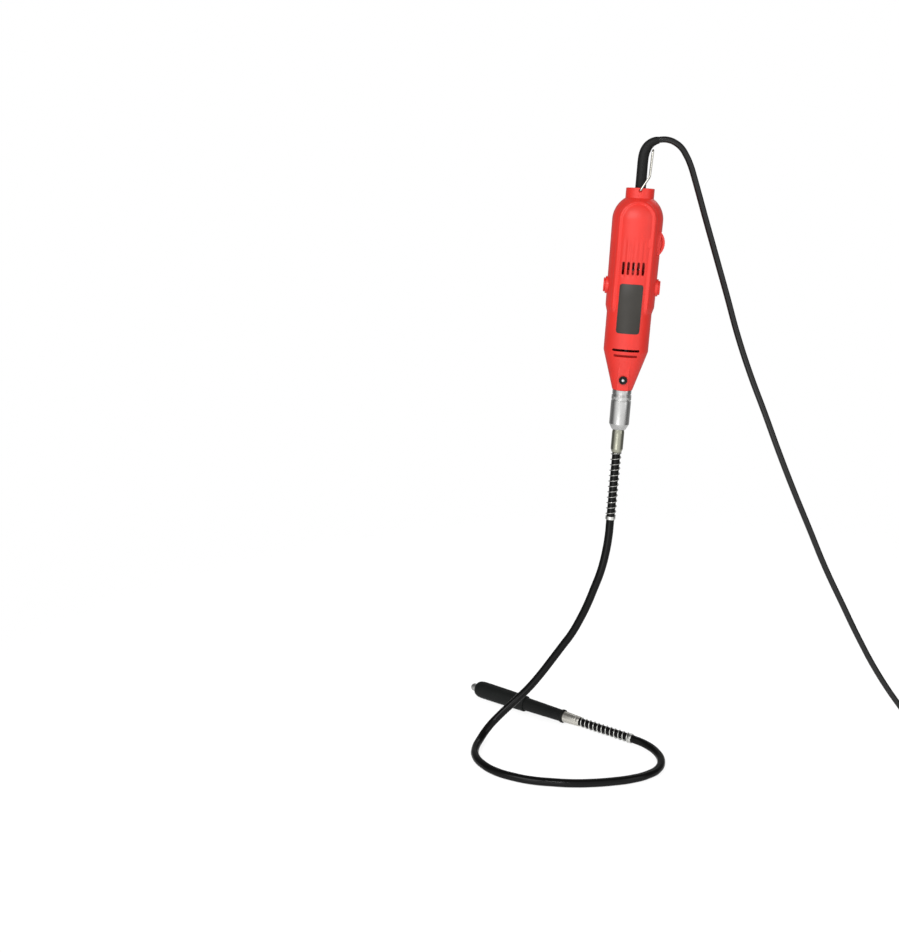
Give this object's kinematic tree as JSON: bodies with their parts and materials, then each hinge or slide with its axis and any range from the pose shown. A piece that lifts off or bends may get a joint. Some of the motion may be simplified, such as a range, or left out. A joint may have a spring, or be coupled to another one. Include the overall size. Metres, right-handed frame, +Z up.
{
  "type": "rotary tool with flex shaft",
  "caption": "Motor unit hung by a wire bail, with speed dial and spindle lock, driving a sheathed flexible shaft to a slim black collet handpiece; mains cord with coil and plug.",
  "frame": {"origin": "underside of the wire bail's crossbar at its middle, where the hook carries the tool", "axes": "+Z up, +X to the right of the tool's front, the front with the plate and spindle lock faces -Y; the table that the handpiece and cords lie on is the plane z = -0.695 m"},
  "size_m": [0.677, 0.271, 0.7113],
  "materials": {
    "red_plastic": "satin-gloss moulding",
    "black_plastic": "fine matt",
    "black_rubber": "soft matt",
    "sheath_rubber": "smooth, slightly glossy",
    "label": "bare printed-label film, satin",
    "steel": "turned",
    "spring_steel": "bright wire",
    "aluminium": "bright turned",
    "nickel": "bright nickel",
    "iron": "laminated stack",
    "copper": "enamelled copper",
    "brass": "plain",
    "board": "solder mask",
    "film_cap": "glossy",
    "lead_brown": "PVC",
    "graphite": "pressed carbon"
  },
  "bodies": {
    "motor_unit": {"front_shell": "red_plastic", "back_shell": "red_plastic", "shell_screws": "steel", "name_plate": "label", "lock_spring": "spring_steel", "speed_control": "black_plastic", "control_board": "board", "suppressor_capacitor": "film_cap", "lead_wires": "lead_brown", "cord_clamp": "black_plastic", "cord_clamp_screws": "steel", "strain_relief": "black_rubber", "mains_cord": "black_rubber", "cord_coil": "black_rubber", "cord_tail": "black_rubber", "cord_tie": "black_plastic", "plug_body": "black_rubber", "plug_pins": "nickel", "rear_bearing": "steel", "front_bearing": "steel", "field_core": "iron", "field_coils": "copper", "brush_holders": "brass", "carbon_brushes": "graphite", "brush_springs": "spring_steel", "nose_bushing": "steel", "upper_ferrule": "nickel", "upper_spring": "spring_steel", "upper_end_ring": "spring_steel", "flex_sheath": "sheath_rubber", "flex_core": "steel", "lower_end_ring": "spring_steel", "lower_spring": "spring_steel", "lower_ferrule": "nickel", "handpiece_sleeve": "black_rubber", "handpiece_grip": "black_rubber", "handpiece_barrel": "aluminium", "rear_spindle_bearing": "steel", "front_spindle_bearing": "steel"},
    "rotor": {"motor_shaft": "steel", "commutator": "copper", "armature_core": "iron", "armature_windings": "copper", "cooling_fan": "black_plastic", "drive_socket": "steel", "drive_tip": "steel"},
    "hand_spindle": {"spindle": "steel", "core_end": "steel", "collet": "nickel"},
    "speed_dial": {"speed_dial": "red_plastic", "dial_shaft": "steel"},
    "spindle_lock": {"lock_button": "black_plastic", "lock_pin": "steel"},
    "bail": {"bail": "spring_steel"},
    "coupling_nut": {"coupling_nut": "aluminium"},
    "collet_nut": {"collet_nut": "steel"},
    "brush_cap_left": {"brush_cap_left": "red_plastic"},
    "brush_cap_right": {"brush_cap_right": "red_plastic"}
  },
  "joints": [
    {"name": "rotor_spin", "type": "hinge", "parent": "motor_unit", "child": "rotor", "pos_m": [-0.02064, 0, -0.18775], "axis": [-0.0576, 0, -0.9983], "continuous": true},
    {"name": "hand_spindle_spin", "type": "hinge", "parent": "motor_unit", "child": "hand_spindle", "pos_m": [-0.16953, 0.0995, -0.6839], "axis": [-0.8526, 0.5225, 0], "continuous": true},
    {"name": "speed_dial_turn", "type": "hinge", "parent": "motor_unit", "child": "speed_dial", "pos_m": [-0.00137, 0, -0.09671], "axis": [0, 1, 0], "range_deg": [0, 270]},
    {"name": "lock_press", "type": "slide", "parent": "motor_unit", "child": "spindle_lock", "axis": [0, 1, 0], "range_m": [0, 0.0025], "stiffness_N_per_m": 300, "springref_m": -0.002, "deforming": ["lock_spring"]},
    {"name": "bail_swing", "type": "hinge", "parent": "motor_unit", "child": "bail", "pos_m": [-0.01217, 0, -0.04099], "axis": [0, 1, 0], "range_deg": [0, 80]},
    {"name": "coupling_nut_turn", "type": "hinge", "parent": "motor_unit", "child": "coupling_nut", "pos_m": [-0.0261, 0, -0.28259], "axis": [-0.0576, 0, -0.9983], "range_deg": [0, 360]},
    {"name": "collet_nut_turn", "type": "hinge", "parent": "hand_spindle", "child": "collet_nut", "pos_m": [-0.20679, 0.12233, -0.6839], "axis": [-0.8526, 0.5225, 0], "range_deg": [0, 360]},
    {"name": "brush_cap_left_turn", "type": "hinge", "parent": "motor_unit", "child": "brush_cap_left", "pos_m": [-0.04605, 0, -0.14221], "axis": [-0.9983, 0, 0.0576], "range_deg": [0, 360]},
    {"name": "brush_cap_right_turn", "type": "hinge", "parent": "motor_unit", "child": "brush_cap_right", "pos_m": [0.00985, 0, -0.14544], "axis": [0.9983, 0, -0.0576], "range_deg": [0, 360]}
  ],
  "couplings": [
    {"joint": "hand_spindle_spin", "follows": "rotor_spin", "ratio": 1}
  ]
}
